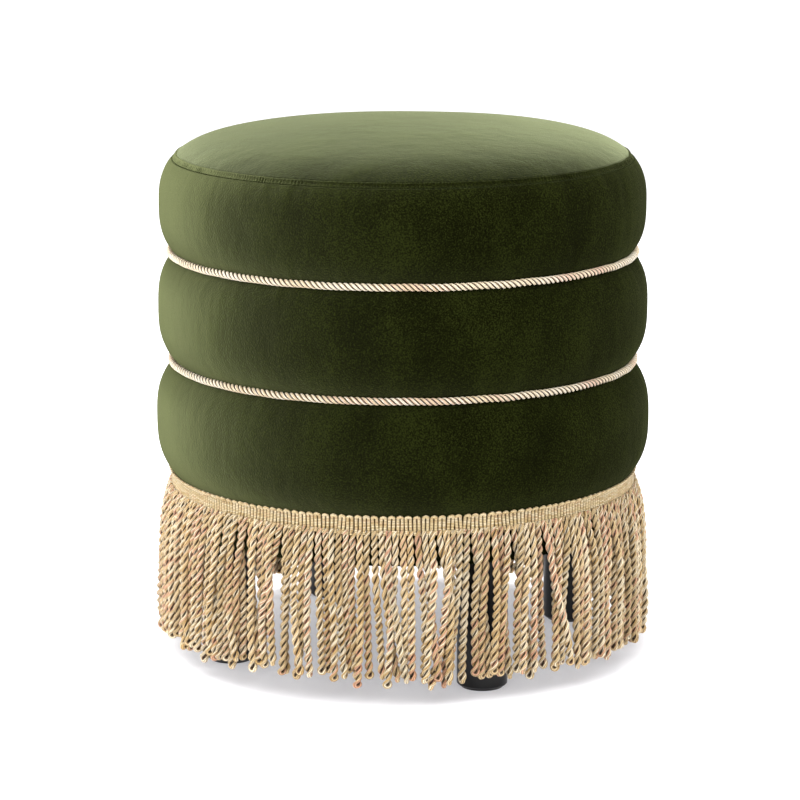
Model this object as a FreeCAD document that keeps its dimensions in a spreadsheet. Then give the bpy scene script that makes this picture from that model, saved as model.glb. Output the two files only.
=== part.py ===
"""Round three-tier upholstered stool with rope-bound waists, a bullion fringe and four turned legs.

Millimetres, +Z up, +X right, front at -Y. The origin is on the floor under the middle of the seat.
"""

import FreeCAD, Part
import math
import os
from types import SimpleNamespace

import Sketcher

DRIVING_SIZES = {
    "glide_diameter": 38.0,
    "glide_thickness": 2.0,
    "leg_diameter": 46.0,
    "leg_length": 123.0,
    "leg_chamfer": 1.5,
    "leg_inset": 2.0,
    "bolt_diameter": 8.0,
    "bolt_depth_in_leg": 30.0,
    "fastener_clearance": 0.1,
    "tee_nut_flange_diameter": 22.0,
    "tee_nut_flange_thickness": 1.5,
    "tee_nut_barrel_diameter": 10.0,
    "tee_nut_setback": 6.0,
    "core_radius": 212.0,
    "dust_cover_thickness": 1.0,
    "base_board_thickness": 18.0,
    "top_board_thickness": 15.0,
    "drum_wall_thickness": 3.0,
    "post_width": 40.0,
    "post_depth": 25.0,
    "fit_clearance": 0.3,
    "velvet_thickness": 1.5,
    "hem_width": 13.5,
    "plinth_height": 42.5,
    "low_tier_height": 105.5,
    "middle_tier_height": 101.0,
    "top_tier_height": 85.7,
    "low_bulge": 16.7,
    "middle_bulge": 14.5,
    "top_bulge": 12.0,
    "tier_fullness": 3.0,
    "seam_strip_height": 4.3,
    "seam_strip_inset": 3.5,
    "seat_foam_thickness": 50.0,
    "crown": 32.0,
    "crown_fullness": 2.5,
    "rope_diameter": 6.6,
    "header_height": 11.0,
    "header_thickness": 4.0,
    "cord_diameter": 6.8,
    "cord_gap": 0.7,
    "cord_splay": 8.5,
    "fringe_floor_gap": 19.0,
    "cord_unevenness": 6.0,
}

# Pieces that stand a quarter turn apart, anticlockwise from above. The posts of the frame and the
# quarters of the fringe start at the right side, and the legs half way between front and right.
POST_NAMES = ("post_right", "post_back", "post_left", "post_front")
FRINGE_NAMES = ("fringe_right", "fringe_back", "fringe_left", "fringe_front")
LEG_NAMES = ("leg_front_right", "leg_back_right", "leg_back_left", "leg_front_left")
QUARTER_TURN = 90
FIRST_LEG_ANGLE = -QUARTER_TURN / 2

# Heights at which a tier's swell is drawn, as shares of half its height from its middle
SWELL_SHARES = (-1, -0.8, -0.35, 0.35, 0.8, 1)
# Radii at which the crown is drawn, as shares of the panel's radius
CROWN_SHARES = (1, 0.78, 0.42, 0)

# Successive cords differ in length by a turn that never repeats, so that no pattern shows
GOLDEN_TURN = math.pi * (3 - math.sqrt(5))

doc = FreeCAD.newDocument("Tuffet")


class Size:
    """A length known both as a number and as the expression that ties it to the sheet."""

    def __init__(self, value, text):
        self.value = value
        self.text = text

    @staticmethod
    def of(other):
        return other if isinstance(other, Size) else Size(float(other), repr(float(other)))

    def joined(self, sign, other, value):
        return Size(value, f"({self.text} {sign} {other.text})")

    def __add__(self, other):
        other = Size.of(other)
        return self.joined("+", other, self.value + other.value)

    def __sub__(self, other):
        other = Size.of(other)
        return self.joined("-", other, self.value - other.value)

    def __mul__(self, other):
        other = Size.of(other)
        return self.joined("*", other, self.value * other.value)

    def __truediv__(self, other):
        other = Size.of(other)
        return self.joined("/", other, self.value / other.value)

    def __radd__(self, other):
        return Size.of(other) + self

    def __rsub__(self, other):
        return Size.of(other) - self

    def __rmul__(self, other):
        return Size.of(other) * self

    def __rpow__(self, other):
        other = Size.of(other)
        return other.joined("^", self, other.value**self.value)

    def root(self):
        return Size(math.sqrt(self.value), f"sqrt({self.text})")


def make_sheet():
    """The spreadsheet of driving sizes, and each size as an attribute of its own."""
    sheet = doc.addObject("Spreadsheet::Sheet", "Sizes")
    for row, (alias, value) in enumerate(DRIVING_SIZES.items(), start=1):
        sheet.set(f"A{row}", alias)
        sheet.set(f"B{row}", str(value))
        sheet.setAlias(f"B{row}", alias)
    doc.recompute()
    named = {alias: Size(sheet.get(alias), f"Sizes.{alias}") for alias in DRIVING_SIZES}
    return SimpleNamespace(**named)


size = make_sheet()

# Levels, from the floor up
LEG_FOOT = size.glide_thickness
LEG_TOP = LEG_FOOT + size.leg_length
BASE_BOTTOM = LEG_TOP + size.dust_cover_thickness
BASE_TOP = BASE_BOTTOM + size.base_board_thickness
HEM_BOTTOM = BASE_BOTTOM - size.velvet_thickness
PLINTH_TOP = BASE_BOTTOM + size.plinth_height
LOW_ROPE = PLINTH_TOP + size.low_tier_height
HIGH_ROPE = LOW_ROPE + size.middle_tier_height
STRIP_BOTTOM = HIGH_ROPE + size.top_tier_height
SEAM = STRIP_BOTTOM + size.seam_strip_height
TOP_BOARD_TOP = STRIP_BOTTOM - size.seat_foam_thickness
TOP_BOARD_BOTTOM = TOP_BOARD_TOP - size.top_board_thickness
HEADER_BOTTOM = PLINTH_TOP - size.header_height

# Radii, from the middle out
WALL_INNER = size.core_radius - size.drum_wall_thickness
WAIST = size.core_radius + size.velvet_thickness
HEM_INNER = WAIST - size.hem_width
PANEL_RADIUS = WAIST - size.seam_strip_inset
LEG_RADIUS = size.leg_diameter / 2
LEG_CIRCLE = HEM_INNER - size.leg_inset - LEG_RADIUS
BOLT_HOLE_RADIUS = size.bolt_diameter / 2 + size.fastener_clearance
ROPE_RADIUS = size.rope_diameter / 2
CORD_RADIUS = size.cord_diameter / 2
CORD_HANG_RADIUS = WAIST + size.header_thickness / 2 + CORD_RADIUS


def new_body(label):
    body = doc.addObject("PartDesign::Body", label)
    body.Label = label
    return body


def new_sketch(body, plane_role, level=None):
    """An empty sketch on one of the body's origin planes, or on a plane at a level above it."""
    plane = next(item for item in body.Origin.OriginFeatures if item.Role == plane_role)
    sketch = body.newObject("Sketcher::SketchObject", f"{body.Name}_sketch")
    sketch.AttachmentSupport = [(plane, "")]
    sketch.MapMode = "FlatFace"
    if level is not None:
        sketch.setExpression("AttachmentOffset.Base.z", level.text)
    return sketch


def place_point(sketch, geometry, point_role, across, up):
    """Tie one point of the sketch to its distances from the sketch's origin."""
    for kind, axis, distance in (("DistanceX", -2, across), ("DistanceY", -1, up)):
        if distance.value == 0:
            sketch.addConstraint(Sketcher.Constraint("PointOnObject", geometry, point_role, axis))
            continue
        constraint = Sketcher.Constraint(kind, -1, 1, geometry, point_role, distance.value)
        index = sketch.addConstraint(constraint)
        sketch.setExpression(f"Constraints[{index}]", distance.text)


def draw_outline(sketch, points):
    """A closed outline of straight lines through points, each a pair of sizes."""
    corners = [(Size.of(across), Size.of(up)) for across, up in points]
    count = len(corners)
    for index, (across, up) in enumerate(corners):
        next_across, next_up = corners[(index + 1) % count]
        start = FreeCAD.Vector(across.value, up.value, 0)
        end = FreeCAD.Vector(next_across.value, next_up.value, 0)
        sketch.addGeometry(Part.LineSegment(start, end), False)
    for index in range(count):
        following = (index + 1) % count
        sketch.addConstraint(Sketcher.Constraint("Coincident", index, 2, following, 1))
    for index, (across, up) in enumerate(corners):
        place_point(sketch, index, 1, across, up)


def draw_circle(sketch, radius, across=0, up=0):
    across = Size.of(across)
    up = Size.of(up)
    centre = FreeCAD.Vector(across.value, up.value, 0)
    circle = sketch.addGeometry(Part.Circle(centre, FreeCAD.Vector(0, 0, 1), radius.value), False)
    index = sketch.addConstraint(Sketcher.Constraint("Radius", circle, radius.value))
    sketch.setExpression(f"Constraints[{index}]", radius.text)
    place_point(sketch, circle, 3, across, up)


def turn(body, points):
    """Revolve an outline, given as radius and height, about the body's upright axis."""
    sketch = new_sketch(body, "XZ_Plane")
    draw_outline(sketch, points)
    revolution = body.newObject("PartDesign::Revolution", f"{body.Name}_turn")
    revolution.Profile = sketch
    revolution.ReferenceAxis = (sketch, ["V_Axis"])
    revolution.Angle = 360
    return revolution


def turned(label, points):
    body = new_body(label)
    turn(body, points)
    return body


def raise_circles(body, circles, bottom, thickness):
    """Pad a sketch of circles, each a radius and the place of its centre, from a level upwards."""
    sketch = new_sketch(body, "XY_Plane", bottom)
    for radius, across, up in circles:
        draw_circle(sketch, radius, across, up)
    pad = body.newObject("PartDesign::Pad", f"{body.Name}_pad")
    pad.Profile = sketch
    pad.setExpression("Length", thickness.text)
    return pad


def leg_places():
    """Where the legs' axes cross a level plane, as pairs of sizes."""
    for index in range(len(LEG_NAMES)):
        angle = FIRST_LEG_ANGLE + QUARTER_TURN * index
        across = LEG_CIRCLE * math.cos(math.radians(angle))
        up = LEG_CIRCLE * math.sin(math.radians(angle))
        yield across, up


def drilled_disc(label, radius, bottom, thickness, hole_radius):
    """A round sheet with a hole over each leg."""
    body = new_body(label)
    circles = [(radius, 0, 0)]
    circles += [(hole_radius, across, up) for across, up in leg_places()]
    raise_circles(body, circles, bottom, thickness)
    return body


def swell(low, high, bulge):
    """Outline of a padded tier between two levels, fullest half way up."""
    middle = (low + high) / 2
    half = (high - low) / 2
    points = []
    for share in SWELL_SHARES:
        fullness = 1 - abs(share) ** size.tier_fullness
        points.append((WAIST + bulge * fullness, middle + half * share))
    return points


def crown():
    """Outline of the domed seat from its seam to the middle."""
    points = []
    for share in CROWN_SHARES:
        rise = size.crown * (1 - share**size.crown_fullness)
        points.append((PANEL_RADIUS * share, SEAM + rise))
    return points


def make_leg(label, angle):
    """A turned leg, bored from above for its hanger bolt."""
    bore_bottom = LEG_TOP - size.bolt_depth_in_leg
    body = turned(
        label,
        [
            (0, LEG_FOOT),
            (LEG_RADIUS - size.leg_chamfer, LEG_FOOT),
            (LEG_RADIUS, LEG_FOOT + size.leg_chamfer),
            (LEG_RADIUS, LEG_TOP),
            (BOLT_HOLE_RADIUS, LEG_TOP),
            (BOLT_HOLE_RADIUS, bore_bottom),
            (0, bore_bottom),
        ],
    )
    body.setExpression("Placement.Base.x", f"{LEG_CIRCLE.text} * cos({angle} deg)")
    body.setExpression("Placement.Base.y", f"{LEG_CIRCLE.text} * sin({angle} deg)")
    return body


def make_glides():
    """A nylon glide under each leg, all standing on the floor."""
    body = new_body("leg_glides")
    circles = [(size.glide_diameter / 2, across, up) for across, up in leg_places()]
    raise_circles(body, circles, Size.of(0), size.glide_thickness)
    return body


def make_hanger_bolts():
    """The threaded studs that join the legs to the base board."""
    body = new_body("hanger_bolts")
    circles = [(size.bolt_diameter / 2, across, up) for across, up in leg_places()]
    bottom = LEG_TOP - size.bolt_depth_in_leg
    raise_circles(body, circles, bottom, BASE_TOP - bottom)
    return body


def make_tee_nuts():
    """Flanged nuts let into the base board from above, one over each leg."""
    body = new_body("tee_nuts")
    barrel_bottom = BASE_BOTTOM + size.tee_nut_setback
    flange = (size.tee_nut_flange_diameter / 2, BASE_TOP, size.tee_nut_flange_thickness)
    barrel = (size.tee_nut_barrel_diameter / 2, barrel_bottom, BASE_TOP - barrel_bottom)
    for radius, bottom, height in (flange, barrel):
        circles = []
        for across, up in leg_places():
            circles += [(radius, across, up), (BOLT_HOLE_RADIUS, across, up)]
        raise_circles(body, circles, bottom, height)
    return body


def make_dust_cover():
    radius = HEM_INNER - size.fit_clearance
    return drilled_disc("dust_cover", radius, LEG_TOP, size.dust_cover_thickness, BOLT_HOLE_RADIUS)


def make_base_board():
    hole_radius = size.tee_nut_barrel_diameter / 2 + size.fastener_clearance
    thickness = size.base_board_thickness
    return drilled_disc("base_board", size.core_radius, BASE_BOTTOM, thickness, hole_radius)


def make_top_board():
    body = new_body("top_board")
    raise_circles(body, [(size.core_radius, 0, 0)], TOP_BOARD_BOTTOM, size.top_board_thickness)
    return body


def make_post(label, angle):
    """An upright of the frame, with its outer corners just inside the drum wall."""
    body = new_body(label)
    reach = WALL_INNER - size.fit_clearance
    half_width = size.post_width / 2
    outer = (reach * reach - half_width * half_width).root()
    inner = outer - size.post_depth
    sketch = new_sketch(body, "XZ_Plane")
    draw_outline(
        sketch,
        [
            (inner, BASE_TOP),
            (outer, BASE_TOP),
            (outer, TOP_BOARD_BOTTOM),
            (inner, TOP_BOARD_BOTTOM),
        ],
    )
    pad = body.newObject("PartDesign::Pad", f"{label}_pad")
    pad.Profile = sketch
    pad.Midplane = True
    pad.setExpression("Length", size.post_width.text)
    body.Placement.Rotation = FreeCAD.Rotation(FreeCAD.Vector(0, 0, 1), angle)
    return body


def make_drum_wall():
    """The stiff board wrapped round the posts, which the padding of the tiers lies on."""
    return turned(
        "drum_wall",
        [
            (WALL_INNER, BASE_TOP),
            (size.core_radius, BASE_TOP),
            (size.core_radius, TOP_BOARD_BOTTOM),
            (WALL_INNER, TOP_BOARD_BOTTOM),
        ],
    )


def make_low_tier_cover():
    """Velvet and wadding of the lowest tier, with the plinth below it and the hem turned under."""
    return turned(
        "low_tier_cover",
        [
            (HEM_INNER, HEM_BOTTOM),
            (WAIST, HEM_BOTTOM),
            *swell(PLINTH_TOP, LOW_ROPE - ROPE_RADIUS, size.low_bulge),
            (WAIST, LOW_ROPE),
            (size.core_radius, LOW_ROPE),
            (size.core_radius, BASE_BOTTOM),
            (HEM_INNER, BASE_BOTTOM),
        ],
    )


def make_middle_tier_cover():
    low = LOW_ROPE + ROPE_RADIUS
    high = HIGH_ROPE - ROPE_RADIUS
    return turned(
        "middle_tier_cover",
        [
            (WAIST, LOW_ROPE),
            *swell(low, high, size.middle_bulge),
            (WAIST, HIGH_ROPE),
            (size.core_radius, HIGH_ROPE),
            (size.core_radius, LOW_ROPE),
        ],
    )


def make_top_tier_cover():
    return turned(
        "top_tier_cover",
        [
            (WAIST, HIGH_ROPE),
            *swell(HIGH_ROPE + ROPE_RADIUS, STRIP_BOTTOM, size.top_bulge),
            (size.core_radius, STRIP_BOTTOM),
            (size.core_radius, HIGH_ROPE),
        ],
    )


def make_top_panel():
    """The velvet panel over its crown of wadding, turned down at the seam as a stitched strip."""
    return turned("top_panel", [(0, STRIP_BOTTOM), (WAIST, STRIP_BOTTOM), *crown()])


def make_seat_foam():
    """The flat foam pad between the top board and the crown of wadding."""
    body = new_body("seat_foam")
    raise_circles(body, [(size.core_radius, 0, 0)], TOP_BOARD_TOP, size.seat_foam_thickness)
    return body


def make_rope(label, level):
    """A rope lying in the groove between two tiers, six-sided with one side against the waist."""
    corner_radius = ROPE_RADIUS / math.cos(math.pi / 6)
    points = []
    for corner in range(6):
        angle = math.radians(30 + 60 * corner)
        across = WAIST + ROPE_RADIUS + corner_radius * math.cos(angle)
        points.append((across, level + corner_radius * math.sin(angle)))
    return turned(label, points)


def make_header():
    """The woven heading that carries the fringe round the plinth."""
    outer = WAIST + size.header_thickness
    return turned(
        "fringe_header",
        [
            (WAIST, HEADER_BOTTOM),
            (outer, HEADER_BOTTOM),
            (outer, PLINTH_TOP),
            (WAIST, PLINTH_TOP),
        ],
    )


def hanging_cord(index, angle):
    """One cord of the fringe, four-sided with a corner pointing out, splayed a little as it falls."""
    outwards = FreeCAD.Vector(math.cos(angle), math.sin(angle), 0)
    sideways = FreeCAD.Vector(-outwards.y, outwards.x, 0)
    top = outwards * CORD_HANG_RADIUS.value + FreeCAD.Vector(0, 0, HEADER_BOTTOM.value)
    reach = CORD_RADIUS.value
    corners = [top + outwards * reach, top + sideways * reach]
    corners += [top - outwards * reach, top - sideways * reach]
    section = Part.Face(Part.makePolygon([*corners, corners[0]]))
    unevenness = size.cord_unevenness.value * math.sin(GOLDEN_TURN * index)
    fall = HEADER_BOTTOM.value - size.fringe_floor_gap.value - unevenness
    return section.extrude(outwards * size.cord_splay.value - FreeCAD.Vector(0, 0, fall))


def make_fringe():
    """The bullion fringe in four quarters, with as many cords as the heading has room for."""
    spacing = (size.cord_diameter + size.cord_gap).value
    cord_count = int(2 * math.pi * CORD_HANG_RADIUS.value / spacing)
    quarters = {label: [] for label in FRINGE_NAMES}
    for index in range(cord_count):
        turn_share = index / cord_count
        quarter = round(len(FRINGE_NAMES) * turn_share) % len(FRINGE_NAMES)
        cord = hanging_cord(index, 2 * math.pi * turn_share)
        quarters[FRINGE_NAMES[quarter]].append(cord)
    pieces = []
    for label, cords in quarters.items():
        feature = doc.addObject("Part::Feature", label)
        feature.Label = label
        feature.Shape = Part.makeCompound(cords)
        feature.Placement = FreeCAD.Placement()
        pieces.append(feature)
    print(f"fringe of {cord_count} cords")
    return pieces


def make_pieces():
    pieces = []
    for index, label in enumerate(LEG_NAMES):
        pieces.append(make_leg(label, FIRST_LEG_ANGLE + QUARTER_TURN * index))
    for index, label in enumerate(POST_NAMES):
        pieces.append(make_post(label, QUARTER_TURN * index))
    pieces += [make_glides(), make_hanger_bolts(), make_tee_nuts()]
    pieces += [make_dust_cover(), make_base_board(), make_top_board(), make_drum_wall()]
    pieces += [make_seat_foam(), make_top_panel(), make_top_tier_cover()]
    pieces += [make_middle_tier_cover(), make_low_tier_cover()]
    pieces += [make_rope("upper_rope", HIGH_ROPE), make_rope("lower_rope", LOW_ROPE)]
    pieces += [make_header(), *make_fringe()]
    return pieces


def check(pieces):
    """Stop before anything is written if an object failed or a piece has no sound shape."""
    for item in doc.Objects:
        if "Invalid" in item.State or "Error" in item.State:
            raise RuntimeError(f"{item.Label} failed: {item.State}")
    for piece in pieces:
        if piece.Shape.isNull() or not piece.Shape.isValid():
            raise RuntimeError(f"{piece.Label} has no valid shape")


def write(pieces):
    os.makedirs("parts", exist_ok=True)
    for piece in pieces:
        piece.Shape.exportStep(f"parts/{piece.Label}.step")
        print(f"{piece.Label}: {len(piece.Shape.Solids)} solids, {piece.Shape.Volume / 1000:.1f} cm3")


pieces = make_pieces()
doc.recompute()
check(pieces)
write(pieces)
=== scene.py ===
"""Dresses a round velvet footstool: tiers, waist ropes, woven heading, bullion fringe and black legs."""

import logging
import math
from dataclasses import dataclass, replace
from enum import Enum

import bmesh
import bpy
import numpy as np
from mathutils import Matrix, Vector


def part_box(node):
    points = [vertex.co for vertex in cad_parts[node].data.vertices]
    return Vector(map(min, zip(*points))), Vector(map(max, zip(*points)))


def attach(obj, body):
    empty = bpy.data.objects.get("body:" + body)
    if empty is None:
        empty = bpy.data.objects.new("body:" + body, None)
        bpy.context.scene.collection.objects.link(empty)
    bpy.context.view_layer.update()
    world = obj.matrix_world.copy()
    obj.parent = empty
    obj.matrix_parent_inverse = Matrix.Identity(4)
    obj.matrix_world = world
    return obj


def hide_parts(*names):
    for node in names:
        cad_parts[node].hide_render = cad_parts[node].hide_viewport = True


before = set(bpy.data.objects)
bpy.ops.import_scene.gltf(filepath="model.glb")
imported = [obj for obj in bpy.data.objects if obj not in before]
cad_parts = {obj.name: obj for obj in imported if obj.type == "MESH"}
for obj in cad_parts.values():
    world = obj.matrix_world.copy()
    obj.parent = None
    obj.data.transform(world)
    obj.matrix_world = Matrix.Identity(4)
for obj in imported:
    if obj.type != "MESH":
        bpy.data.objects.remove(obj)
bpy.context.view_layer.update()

MM = 0.001
SEAT_MM = 210.0
BODY = "root"
LOG = logging.getLogger("footstool")
Socket = bpy.types.NodeSocket
Profile = list[tuple[float, float]]


# Colour and shader helpers


def linear(hex_colour: str) -> tuple[float, float, float, float]:
    """Turns an sRGB hex colour into the linear colour that shaders work in.

    Args:
        hex_colour: a hash and six hex digits.

    Returns:
        Red, green, blue and an alpha of 1.
    """
    channels = []
    for start in (1, 3, 5):
        value = int(hex_colour[start : start + 2], 16) / 255
        channels.append(value / 12.92 if value <= 0.04045 else ((value + 0.055) / 1.055) ** 2.4)
    return (*channels, 1.0)


@dataclass
class Pattern:
    """A material's node tree while a finish is drawn in it."""

    tree: bpy.types.NodeTree
    shader: bpy.types.Node

    def fill(self, node: bpy.types.Node, sockets: dict) -> None:
        """Fills a node's sockets.

        Args:
            node: the node.
            sockets: each socket's name or number, to a value or to another node's output.
        """
        for name, value in sockets.items():
            if isinstance(value, Socket):
                self.tree.links.new(value, node.inputs[name])
            else:
                node.inputs[name].default_value = value

    def add(
        self, kind: str, sockets: dict | None = None, out: int | str = 0, stops: tuple = (), **settings
    ) -> Socket:
        """Adds a node with its settings and links.

        Args:
            kind: the node's type name, without the ShaderNode before it.
            sockets: what fills its sockets.
            out: the output that is wanted.
            stops: places from 0 to 1 on a colour ramp, each with an sRGB hex colour.
            settings: the node's own properties.

        Returns:
            The wanted output.
        """
        node = self.tree.nodes.new("ShaderNode" + kind)
        for name, value in settings.items():
            setattr(node, name, value)
        self.fill(node, sockets or {})
        if stops:
            elements = node.color_ramp.elements
            elements.remove(elements[-1])
            elements[0].position = stops[0][0]
            elements[0].color = linear(stops[0][1])
            for place, colour in stops[1:]:
                elements.new(place).color = linear(colour)
        return node.outputs[out]


# Finishes


@dataclass(frozen=True)
class Finish:
    """What every finish has: a name, and a material that is drawn once."""

    name: str

    def material(self) -> bpy.types.Material:
        """Finds this finish's material, and draws it the first time.

        Returns:
            The material.
        """
        known = bpy.data.materials.get(self.name)
        if known is not None:
            return known
        made = bpy.data.materials.new(self.name)
        made.use_nodes = True
        made.node_tree.nodes.clear()
        pattern = Pattern(made.node_tree, made.node_tree.nodes.new("ShaderNodeBsdfPrincipled"))
        surface = made.node_tree.nodes.new("ShaderNodeOutputMaterial")
        pattern.fill(surface, {"Surface": pattern.shader.outputs["BSDF"]})
        pattern.fill(pattern.shader, self.draw(pattern))
        return made

    def draw(self, pattern: Pattern) -> dict:
        """Draws the finish's pattern.

        Args:
            pattern: the material's node tree.

        Returns:
            What fills the shader's sockets.
        """
        raise NotImplementedError


@dataclass(frozen=True)
class CottonVelvet(Finish):
    """Cut-pile cotton velvet: nearly black face on, and pale where the pile is seen from its side."""

    deep: str = "#050600"
    mid: str = "#0f1202"
    pale: str = "#1f2409"
    sheen_colour: str = "#f4ffb6"
    sheen_weight: float = 0.21
    sheen_roughness: float = 0.46
    crush_mm: float = 42.0
    nap_mm: float = 1.35
    tuft_mm: float = 0.42
    lean: float = 0.38
    brushed_out: float = 0.0
    lean_way: tuple[float, float, float] | None = None

    def draw(self, pattern: Pattern) -> dict:
        """Draws hand-brushed patches and the grain of the pile.

        Args:
            pattern: the material's node tree.

        Returns:
            What fills the shader's sockets.
        """
        add = pattern.add
        place = add("TexCoord", out="Object")
        # Patches where hands brushed the pile lie mostly up and down the side
        stretched = add("Mapping", {"Vector": place, "Scale": (1.0, 1.0, 0.55)})
        scale = 1 / (self.crush_mm * MM)
        patches = add("TexNoise", {"Vector": stretched, "Scale": scale, "Detail": 3.0, "Roughness": 0.55})
        # The ends of the tufts make a fine speckle, drawn a little coarser than real so that it shows
        scale = 1 / (self.nap_mm * MM)
        nap = add("TexNoise", {"Vector": place, "Scale": scale, "Detail": 1.5, "Roughness": 0.6})
        tone = add("Math", {0: patches, 1: 0.3, 2: 0.0}, operation="MULTIPLY_ADD")
        tone = add("Math", {0: nap, 1: 0.7, 2: tone}, operation="MULTIPLY_ADD")
        pile = self.pile(pattern, place)
        brushed = add("Bump", {"Height": patches, "Strength": 0.45, "Distance": 4.0 * MM, "Normal": pile})
        tufts = {"Height": nap, "Strength": 1.0, "Distance": self.tuft_mm * MM, "Normal": brushed}
        stops = ((0.38, self.deep), (0.5, self.mid), (0.62, self.pale))
        return {
            "Base Color": add("ValToRGB", {"Fac": tone}, stops=stops),
            "Normal": add("Bump", tufts),
            "Roughness": 0.9,
            "Specular IOR Level": 0.0,
            "Sheen Weight": self.sheen_weight,
            "Sheen Roughness": self.sheen_roughness,
            "Sheen Tint": linear(self.sheen_colour),
        }

    def pile(self, pattern: Pattern, place: Socket) -> Socket:
        """Leans the pile over, one way round the stool or one way across the cloth.

        Args:
            pattern: the material's node tree.
            place: the place on the stool.

        Returns:
            The direction the pile points in.
        """
        add = pattern.add
        if self.lean_way is None:
            way = add("VectorMath", {0: place, 1: (0.0, 0.0, 1.0)}, operation="CROSS_PRODUCT")
        else:
            way = add("CombineXYZ", dict(enumerate(self.lean_way)))
        way = add("VectorMath", {0: way}, operation="NORMALIZE")
        pushed = add("VectorMath", {0: way, "Scale": self.lean}, operation="SCALE")
        leaned = add("VectorMath", {0: add("NewGeometry", out="Normal"), 1: pushed}, operation="ADD")
        if self.brushed_out:
            # Hands smooth a seat from its middle to its edge, so the pile lies outwards there
            share = self.brushed_out / (SEAT_MM * MM)
            outwards = add("VectorMath", {0: place, 1: (share, share, 0.0)}, operation="MULTIPLY")
            leaned = add("VectorMath", {0: leaned, 1: outwards}, operation="ADD")
        return add("VectorMath", {0: leaned}, operation="NORMALIZE")


@dataclass(frozen=True)
class RayonYarn(Finish):
    """Twisted rayon yarns with a soft lustre: gold, cream and a few rosy ends side by side."""

    gold: str = "#dcc190"
    cream: str = "#f4e5c4"
    rose: str = "#daa686"
    ochre: str = "#c8a468"
    # Painted shade: the groove colour fills the narrow lines between yarns
    groove_shade: str = "#6b4420"
    # Painted shade: the valley colour darkens the sides that strands turn to each other
    valley_shade: str = "#241205"
    valley_shade_from: float = 0.26
    valley_shade_to: float = 0.43
    yarns_round: float = 6.0
    lay_per_metre: float = 70.0
    yarn_height_mm: float = 0.42

    def draw(self, pattern: Pattern) -> dict:
        """Draws the yarns along the strand, from its own map of turns round it and metres along it.

        Args:
            pattern: the material's node tree.

        Returns:
            What fills the shader's sockets.
        """
        add = pattern.add
        strand = add("UVMap", uv_map="strand")
        across = add("SeparateXYZ", {"Vector": strand}, "X")
        along = add("SeparateXYZ", {"Vector": strand}, "Y")
        tone = add("Attribute", out="Fac", attribute_name="tone")
        count = add("Math", {0: along, 1: self.lay_per_metre}, operation="MULTIPLY")
        count = add("Math", {0: across, 1: self.yarns_round, 2: count}, operation="MULTIPLY_ADD")
        wave = add("Math", {0: count, 1: math.pi}, operation="MULTIPLY")
        ridge = add("Math", {0: add("Math", {0: wave}, operation="SINE")}, operation="ABSOLUTE")
        # Each yarn keeps its own shade along the strand
        which = add("Math", {0: count}, operation="FLOOR")
        which = add("Math", {0: tone, 1: 97.0, 2: which}, operation="MULTIPLY_ADD")
        lot = add("TexWhiteNoise", {"W": which}, noise_dimensions="1D")
        stops = ((0.0, self.gold), (0.42, self.cream), (0.74, self.ochre), (0.84, self.rose))
        shade = add("ValToRGB", {"Fac": lot}, stops=stops)
        shade.node.color_ramp.interpolation = "CONSTANT"
        # The lines between yarns take the groove colour, as painted shade in the crevices
        depth = add("MapRange", {"Value": ridge, "From Min": 0.05, "From Max": 0.7})
        lines = add("Mix", {"Factor": depth, 6: linear(self.groove_shade), 7: shade}, 2, data_type="RGBA")
        # The side of a strand that faces its neighbour takes the valley colour: painted shade
        inward = add("Math", {0: across}, operation="ABSOLUTE")
        span = {"Value": inward, "From Min": self.valley_shade_from, "From Max": self.valley_shade_to}
        shade_mask = add("MapRange", span, interpolation_type="SMOOTHSTEP")
        lines = add("Mix", {"Factor": shade_mask, 6: lines, 7: linear(self.valley_shade)}, 2, data_type="RGBA")
        # Cords from different spools differ a little in depth of colour
        dye = add("MapRange", {"Value": tone, "To Min": 0.84, "To Max": 1.08})
        return {
            "Base Color": add("HueSaturation", {"Value": dye, "Saturation": 1.0, "Color": lines}),
            "Normal": add("Bump", {"Height": ridge, "Strength": 0.8, "Distance": self.yarn_height_mm * MM}),
            "Roughness": 0.5,
            "Specular IOR Level": 0.35,
            "Sheen Weight": 0.25,
            "Sheen Roughness": 0.4,
            "Sheen Tint": linear("#fff0d0"),
        }


@dataclass(frozen=True)
class SatinLacquer(Finish):
    """Black lacquer sprayed on turned hardwood: a soft broad highlight with a trace of the grain under it."""

    colour: str = "#050505"
    worn: str = "#0a0909"
    grain_mm: float = 1.2

    def draw(self, pattern: Pattern) -> dict:
        """Draws the grain that the lacquer follows and dulled patches.

        Args:
            pattern: the material's node tree.

        Returns:
            What fills the shader's sockets.
        """
        add = pattern.add
        place = add("TexCoord", out="Object")
        along = add("Mapping", {"Vector": place, "Scale": (1.0, 1.0, 0.05)})
        grain = add("TexNoise", {"Vector": along, "Scale": 1 / (self.grain_mm * MM), "Detail": 3.0})
        smears = add("TexNoise", {"Vector": place, "Scale": 1 / (18 * MM), "Detail": 2.0})
        return {
            "Base Color": add("ValToRGB", {"Fac": smears}, stops=((0.4, self.colour), (0.75, self.worn))),
            "Roughness": add("MapRange", {"Value": smears, "To Min": 0.3, "To Max": 0.42}),
            "Normal": add("Bump", {"Height": grain, "Strength": 0.25, "Distance": 0.05 * MM}),
            "Specular IOR Level": 0.25,
            "Coat Weight": 0.12,
            "Coat Roughness": 0.25,
        }


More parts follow.
